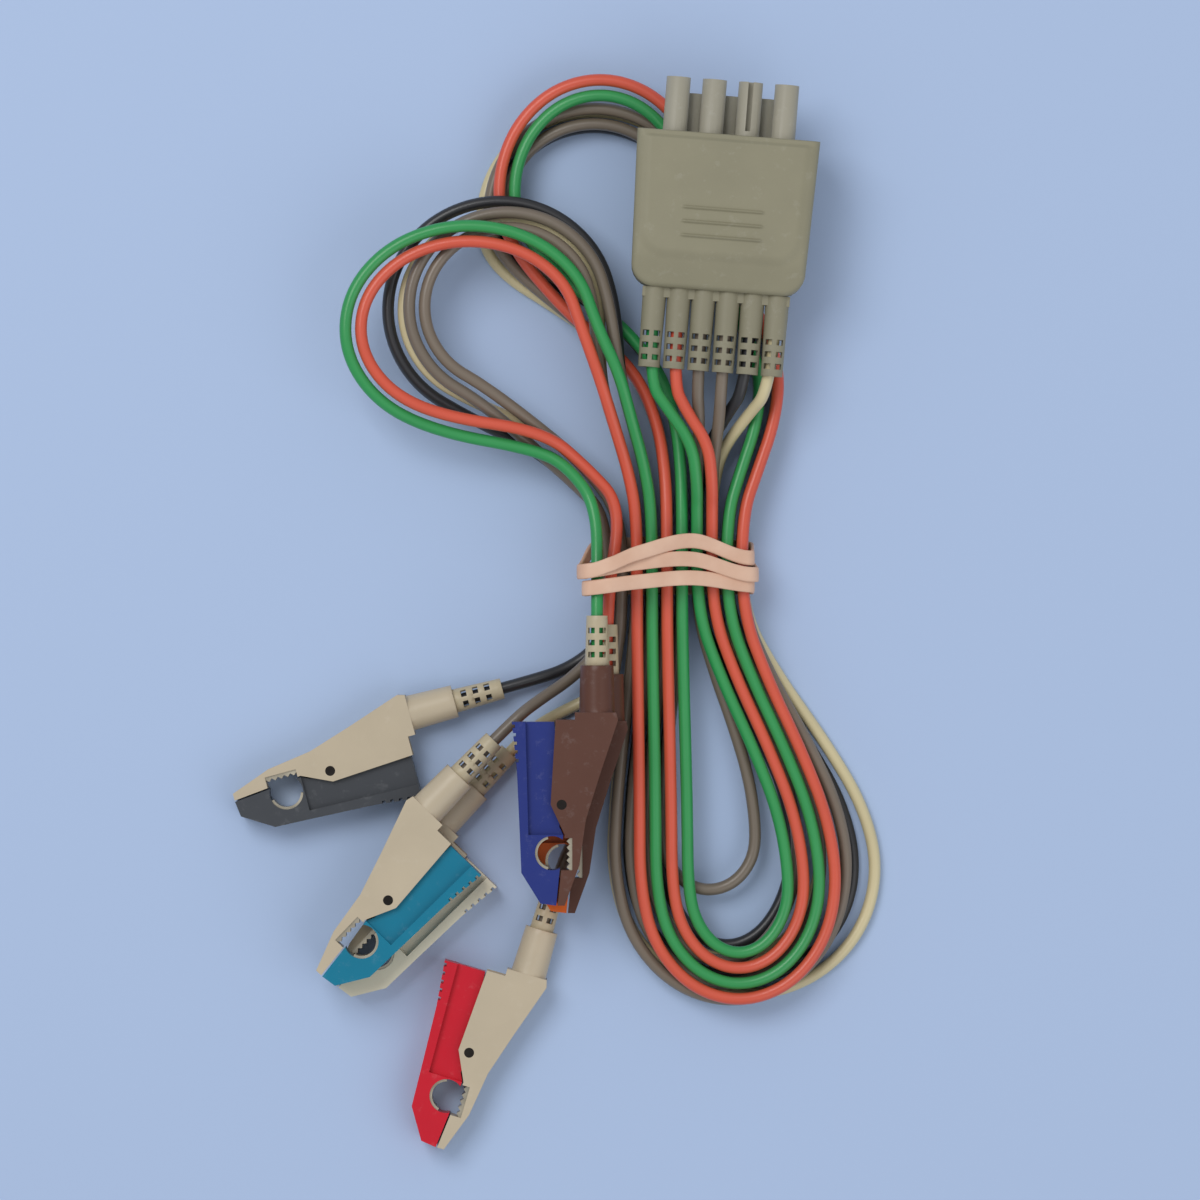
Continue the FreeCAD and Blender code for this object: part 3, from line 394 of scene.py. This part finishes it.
def rounded_loop(corners, radius, count):
    """Evenly spaced points of a closed outline whose corners are arcs of one radius.

    An arc's centre lies on the corner's bisector, at radius over the sine of half its angle.
    """
    back = np.roll(corners, 1, axis=0) - corners
    ahead = np.roll(corners, -1, axis=0) - corners
    back /= np.linalg.norm(back, axis=1)[:, None]
    ahead /= np.linalg.norm(ahead, axis=1)[:, None]
    half = 0.5 * np.arccos((back * ahead).sum(axis=1))
    inward = back + ahead
    inward /= np.linalg.norm(inward, axis=1)[:, None]
    centre = corners + inward * (radius / np.sin(half))[:, None]
    start = corners + back * (radius / np.tan(half))[:, None] - centre
    end = corners + ahead * (radius / np.tan(half))[:, None] - centre
    share = np.linspace(0.0, 1.0, 13)[None, :, None]
    arc = start[:, None] * (1.0 - share) + end[:, None] * share
    arc *= radius / np.linalg.norm(arc, axis=2)[:, :, None]
    ring = (centre[:, None] + arc).reshape(-1, 2)
    ring = np.vstack([ring, ring[:1]])
    run = np.concatenate([[0.0], np.cumsum(np.linalg.norm(np.diff(ring, axis=0), axis=1))])
    spot = np.linspace(0.0, run[-1], count, endpoint=False)
    return np.stack([np.interp(spot, run, ring[:, k]) for k in range(2)], axis=1)


def smooth_keys(keys, phase):
    """A closed cubic through equally spaced keys (Catmull-Rom), for phases from 0 to 1."""
    keys = np.array(keys)
    place = phase * len(keys)
    n = np.floor(place).astype(int)
    t = place - n
    a, b, c, d = [keys[(n + k) % len(keys)] for k in (-1, 0, 1, 2)]
    return b + 0.5 * t * (c - a + t * (2 * a - 5 * b + 4 * c - d + t * (3 * (b - c) + d - a)))


def band_turn(shift, lift, roll):
    """One turn: a soft-edged strip carried round the loop, at shift along Y and lift outwards.

    The strip's section is a superellipse, |w|^4 + |v|^4 = 1, turned by roll about its run.
    Keys are counted from the foot of the right side, upwards.
    """
    loop = rounded_loop(BAND_CORNERS, BAND_ROUND, BAND_STEPS)
    phase = np.arange(len(loop)) / len(loop)
    y = smooth_keys(shift, phase)
    out = smooth_keys(lift, phase)
    turn = np.radians(smooth_keys(roll, phase))
    run = np.roll(loop, -1, axis=0) - np.roll(loop, 1, axis=0)
    run /= np.linalg.norm(run, axis=1)[:, None]
    normal = np.stack([run[:, 1], -run[:, 0]], axis=1)
    angle = np.radians(np.arange(0, 360, 15))
    w = np.sign(np.cos(angle)) * np.abs(np.cos(angle)) ** 0.5 * BAND_WIDE / 2
    v = np.sign(np.sin(angle)) * np.abs(np.sin(angle)) ** 0.5 * BAND_THICK / 2
    across = w[None] * np.cos(turn)[:, None] - v[None] * np.sin(turn)[:, None]
    rise = w[None] * np.sin(turn)[:, None] + v[None] * np.cos(turn)[:, None] + out[:, None]
    x = loop[:, 0, None] + normal[:, 0, None] * rise
    z = loop[:, 1, None] + normal[:, 1, None] * rise
    grid = np.stack([x, y[:, None] + across, z], axis=2)
    index = np.arange(x.size).reshape(x.shape)
    beside = np.roll(index, -1, axis=1)
    faces = np.stack([index, beside, np.roll(beside, -1, axis=0), np.roll(index, -1, axis=0)], axis=2)
    return grid.reshape(-1, 3), faces.reshape(-1, 4)


# each turn: its place along Y in mm, its lift in mm and its roll in degrees, at eight keys
TURNS = [
    ([3.8, 4.2, 5.6, 4.8, 3.5, 3.6, 3.8, 3.8],
     [0.0, 0.0, 0.0, 0.0, 0.0, 0.0, 0.0, 0.0],
     [0.0, 0.0, -6.0, 10.0, 0.0, 0.0, 0.0, 0.0]),
    ([7.9, 6.3, 9.3, 8.6, 6.9, 7.4, 8.0, 8.1],
     [0.0, 0.9, 0.2, 0.0, 0.0, 0.0, 0.0, 0.0],
     [0.0, 0.0, 4.0, -4.0, 0.0, 0.0, 0.0, 0.0]),
    ([11.6, 9.6, 13.0, 10.6, 6.8, 10.8, 12.3, 12.4],
     [0.0, 0.0, 0.0, 0.9, 1.0, 0.45, 0.0, 0.0],
     [0.0, 0.0, 8.0, -8.0, 0.0, 0.0, 0.0, 0.0]),
]
corners = []
faces = []
for shift, lift, roll in TURNS:
    grid, quads = band_turn(shift, lift, roll)
    faces.append(quads + sum(len(c) for c in corners))
    corners.append((grid + np.array(ORIGIN)) / 1000.0)
mesh = bpy.data.meshes.new("rubber_band_turns")
mesh.from_pydata(np.vstack(corners).tolist(), [], np.vstack(faces).tolist())
mesh.polygons.foreach_set("use_smooth", np.ones(len(mesh.polygons), dtype=bool))
band = bpy.data.objects.new("rubber_band_turns", mesh)
bpy.context.scene.collection.objects.link(band)
material, rubber, spot = start_material("natural_rubber")
patch = spot.make("ShaderNodeTexNoise", Vector=spot, Scale=140.0, Detail=4.0)
talc = spot.make("ShaderNodeTexNoise", Vector=spot, Scale=1400.0, Detail=3.0)
blend(patch, linear(205, 158, 130), linear(238, 203, 178)).feed(rubber, "Base Color")
(talc * 0.25 + 0.42).feed(rubber, "Roughness")
bump = spot.make("ShaderNodeBump", Strength=0.25, Distance=0.00008, Height=talc)
bump.feed(rubber, "Normal")
mesh.materials.append(material)
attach(band, "set")
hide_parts("rubber_band")

# Plug housing, upper half: a hollow moulding in putty-coloured plastic, glued to the lower half.
# Its raised pad and rear apron run into the walls with soft rounds, and three low ridges on the
# pad are for the fingers.
SHELL_FRONT, SHELL_REAR = 18.2, 17.3
SHELL_LONG, SHELL_CORNER = 31.0, 4.5
SHELL_STRAIGHT = SHELL_LONG - SHELL_CORNER
SHELL_HIGH, SHELL_WALL = 6.2, 1.4
SHELL_ROUND, LIP_ROUND, MOUTH_ROUND, ROOM_ROUND = 1.5, 0.9, 0.4, 0.5
ROOM_LONG = 25.0
APRON_FALL = 0.457
PAD_HIGH, PAD_INSET, PAD_LONG = 0.6, 1.8, 24.5
GRIP_FIRST, GRIP_STEP, GRIP_HALF, GRIP_HIGH, GRIP_FOOT = -15.0, -2.8, 7.7, 0.5, 0.5


def moulded(name, colour, rough, grain, dust):
    """Moulded plastic: slight colour drift, fine moulding grain and handling marks."""
    material, shader, spot = start_material(name)
    broad = spot.make("ShaderNodeTexNoise", Vector=spot, Scale=90.0, Detail=3.0)
    fine = spot.make("ShaderNodeTexNoise", Vector=spot, Scale=2600.0, Detail=2.0)
    marks = spot.make("ShaderNodeTexNoise", Vector=spot, Scale=420.0, Detail=4.0, Roughness=0.7)
    worn = spot.make("ShaderNodeMapRange", Value=marks,
                     From_Min=0.58, From_Max=0.75, To_Min=0.0, To_Max=dust)
    pale = (*[min(1.0, c * 0.8 + 0.2) for c in colour[:3]], 1.0)
    drift = blend(broad, darker(colour, 0.82), colour)
    blend(worn, drift, pale).feed(shader, "Base Color")
    (marks * 0.18 + (rough - 0.09)).feed(shader, "Roughness")
    shader.inputs["Specular IOR Level"].default_value = 0.3
    bump = spot.make("ShaderNodeBump", Strength=grain, Distance=0.00006, Height=fine)
    bump.feed(shader, "Normal")
    return material


def soft_step(low, high, value):
    """A smooth rise from 0 to 1 between two values, for whole arrays."""
    s = np.clip((value - low) / (high - low), 0.0, 1.0)
    return s * s * (3.0 - 2.0 * s)


def half_width(y):
    """Half the housing's width, which tapers to the rear as far as the corners."""
    return SHELL_FRONT + (SHELL_REAR - SHELL_FRONT) * np.clip(-y / SHELL_STRAIGHT, 0.0, 1.0)


def edge_distance(x, y, inset, rear):
    """How far a point lies inside an outline with two rear corners of one radius.

    Within the corner's square it is the radius less the distance to the corner's centre.
    """
    beyond_side = np.maximum(np.abs(x) - half_width(y) + inset + SHELL_CORNER, 0.0)
    beyond_rear = np.maximum(SHELL_CORNER - rear - y, 0.0)
    return SHELL_CORNER - np.hypot(beyond_side, beyond_rear)


def fillet_drop(inside, radius):
    """How far a quarter-round edge lies below its flat: r - sqrt(r^2 - (r - d)^2)."""
    short = np.clip(radius - inside, 0.0, radius)
    return radius - np.sqrt(np.maximum(radius ** 2 - short ** 2, 0.0))


def shell_top(x, y):
    """Height of the outside: a flat, an apron that falls to the rear, the pad, ridges and rounds."""
    behind = -ROOM_LONG - y
    apron = APRON_FALL * 0.5 * (behind + np.sqrt(behind ** 2 + 1.0))
    raised = soft_step(-1.2, 1.2, edge_distance(x, y, PAD_INSET, PAD_LONG)) * soft_step(0.8, 1.7, -y)
    ridge = np.zeros_like(x)
    for number in range(3):
        away = np.hypot(np.maximum(np.abs(x) - GRIP_HALF, 0.0), y - GRIP_FIRST - GRIP_STEP * number)
        ridge = np.maximum(ridge, 0.5 + 0.5 * np.cos(np.pi * np.minimum(away / GRIP_FOOT, 1.0)))
    radius = SHELL_ROUND - (SHELL_ROUND - LIP_ROUND) * soft_step(25.0, 29.0, -y)
    rim = fillet_drop(edge_distance(x, y, 0.0, SHELL_LONG), radius) + fillet_drop(-y, MOUTH_ROUND)
    return SHELL_HIGH - apron + PAD_HIGH * raised + GRIP_HIGH * ridge - rim


def shell_sheet(x, y, z):
    """Grid of one skin, with the walls of both sides and of the rear carried down to the joint."""
    grid = np.stack([x, y, z], axis=2)
    grid = np.concatenate([grid[:, :1] * (1, 1, 0), grid, grid[:, -1:] * (1, 1, 0)], axis=1)
    return np.concatenate([grid, grid[-1:] * (1, 1, 0)], axis=0)


# rows run from the mouth to the rear, close together on the ridges and round the corners
bend = np.radians(np.linspace(0.0, 90.0, 19))
rows = [np.linspace(0.0, 0.4, 6), np.linspace(0.6, 2.0, 8), np.linspace(2.5, 14.0, 24),
        np.linspace(14.1, 21.5, 75), np.linspace(21.8, 26.3, 20),
        SHELL_STRAIGHT + SHELL_CORNER * np.sin(bend)]
share = np.linspace(-1.0, 1.0, 121)
share = np.sign(share) * (1.0 - (1.0 - np.abs(share)) ** 1.6)
along, share = np.meshgrid(-np.concatenate(rows), share, indexing="ij")
past = np.maximum(-along - SHELL_STRAIGHT, 0.0)
corner = SHELL_CORNER - np.sqrt(np.maximum(SHELL_CORNER ** 2 - past ** 2, 0.0))
outer_half = half_width(along) - corner
outer = shell_sheet(outer_half * share, along, shell_top(outer_half * share, along))
ceiling = SHELL_HIGH - SHELL_WALL - fillet_drop((1.0 - np.abs(share)) * SHELL_FRONT, ROOM_ROUND)
inner = shell_sheet((outer_half - SHELL_WALL) * share, along * ROOM_LONG / SHELL_LONG, ceiling)
tall, wide = outer.shape[:2]
index = np.arange(tall * wide).reshape(tall, wide)
skin = np.stack([index[:-1, :-1], index[:-1, 1:], index[1:, 1:], index[1:, :-1]], axis=2).reshape(-1, 4)
border = np.concatenate([index[0], index[1:, -1], index[-1, -2::-1], index[-2:0:-1, 0]])
after = np.roll(border, -1)
joint = np.stack([border, after, after + tall * wide, border + tall * wide], axis=1)
quads = np.vstack([skin, skin + tall * wide, joint])
spots = np.vstack([outer.reshape(-1, 3), inner.reshape(-1, 3)])
set_x, set_y, middle = plug_spot(spots[:, 0], spots[:, 1])
spots = np.stack([set_x + ORIGIN[0], set_y + ORIGIN[1], middle + spots[:, 2]], axis=1) / 1000.0
mesh = bpy.data.meshes.new("plug_housing_upper")
mesh.from_pydata(spots.tolist(), [], quads.tolist())
solid = bmesh.new()
solid.from_mesh(mesh)
bmesh.ops.remove_doubles(solid, verts=solid.verts, dist=1e-7)
bmesh.ops.dissolve_degenerate(solid, edges=solid.edges, dist=1e-8)
bmesh.ops.recalc_face_normals(solid, faces=solid.faces)
solid.to_mesh(mesh)
solid.free()
mesh.polygons.foreach_set("use_smooth", np.ones(len(mesh.polygons), dtype=bool))
mesh.set_sharp_from_angle(angle=math.radians(50))
housing = bpy.data.objects.new("plug_housing_upper", mesh)
bpy.context.scene.collection.objects.link(housing)
mesh.materials.append(moulded("plug_housing_plastic", linear(150, 145, 121), 0.52, 0.35, 0.25))
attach(housing, "set")
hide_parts("plug_upper_shell")


# Plug, the rest: the lower half of the housing and the slotted tails, moulded in the same
# putty-coloured plastic, and the insert with its prongs in a paler one, held between the halves.
def soften_edges(part, width):
    """Join a piece's loose triangles, then round its edges as a mould's are."""
    join = part.modifiers.new("join", "WELD")
    join.merge_threshold = 1e-6
    round_off = part.modifiers.new("round_off", "BEVEL")
    round_off.width = width
    round_off.segments = 2
    round_off.limit_method = "ANGLE"
    round_off.angle_limit = math.radians(40)
    round_off.harden_normals = True


for label, colour, rough in (
    ("plug_lower_shell", (144, 139, 116), 0.54),
    ("plug_reliefs", (146, 141, 119), 0.5),
    ("plug_insert", (168, 163, 146), 0.45),
):
    part = nodes[label]
    part.data.materials.clear()
    part.data.materials.append(moulded(label + "_plastic", linear(*colour), rough, 0.35, 0.25))
    soften_edges(part, 0.0004)

# Clips: a body and a lever moulded in satin plastic, joined by a pin, and a slotted sleeve that
# is pushed over the lead behind the body's collar. The lever's colour marks the lead.
PALE = (202, 187, 161)
BROWN = (97, 62, 50)
SLEEVE = (196, 182, 152)
for clip, body_colour, lever_colour in (
    ("grey_clip", PALE, (70, 73, 78)),
    ("teal_clip", PALE, (10, 125, 155)),
    ("red_clip", PALE, (212, 22, 45)),
    ("blue_clip", BROWN, (36, 52, 128)),
    ("orange_clip", BROWN, (240, 108, 32)),
    ("cream_clip", PALE, (232, 222, 196)),
):
    for piece, colour in (("body", body_colour), ("relief", SLEEVE), ("lever", lever_colour)):
        part = nodes[clip + "_" + piece]
        part.data.materials.clear()
        satin = moulded("%s_%s_plastic" % (clip, piece), linear(*colour), 0.36, 0.22, 0.2)
        part.data.materials.append(satin)
        if piece != "lever":
            soften_edges(part, 0.0004 if piece == "body" else 0.0002)

# Metal: stamped and plated contacts in the jaws and the plug, springs of bent steel wire, and steel
# hinge pins pressed through the clips; the pins are coloured dark as painted shade for the shadowed
# holes round their ends. All are a little tarnished.
PLATING = linear(214, 204, 182)
SPRING_STEEL = linear(196, 196, 194)
# painted shade: this dark colour for the hinge pins stands for the shadowed holes round the pin ends
PIN_HOLE_SHADE = linear(62, 58, 55)
for label in nodes:
    if not label.endswith(("contact", "contacts", "spring", "pins")):
        continue
    metal = PLATING if "contact" in label else SPRING_STEEL
    # the hinge pins take the dark painted-shade colour, which stands for the shadowed holes round their
    # ends
    if label == "hinge_pins":
        metal = PIN_HOLE_SHADE
    material, shader, spot = start_material(label + "_metal")
    tarnish = spot.make("ShaderNodeTexNoise", Vector=spot, Scale=300.0, Detail=4.0)
    blend(tarnish, darker(metal, 0.6), metal).feed(shader, "Base Color")
    (tarnish * 0.3 + 0.15).feed(shader, "Roughness")
    shader.inputs["Metallic"].default_value = 1.0
    nodes[label].data.materials.clear()
    nodes[label].data.materials.append(material)
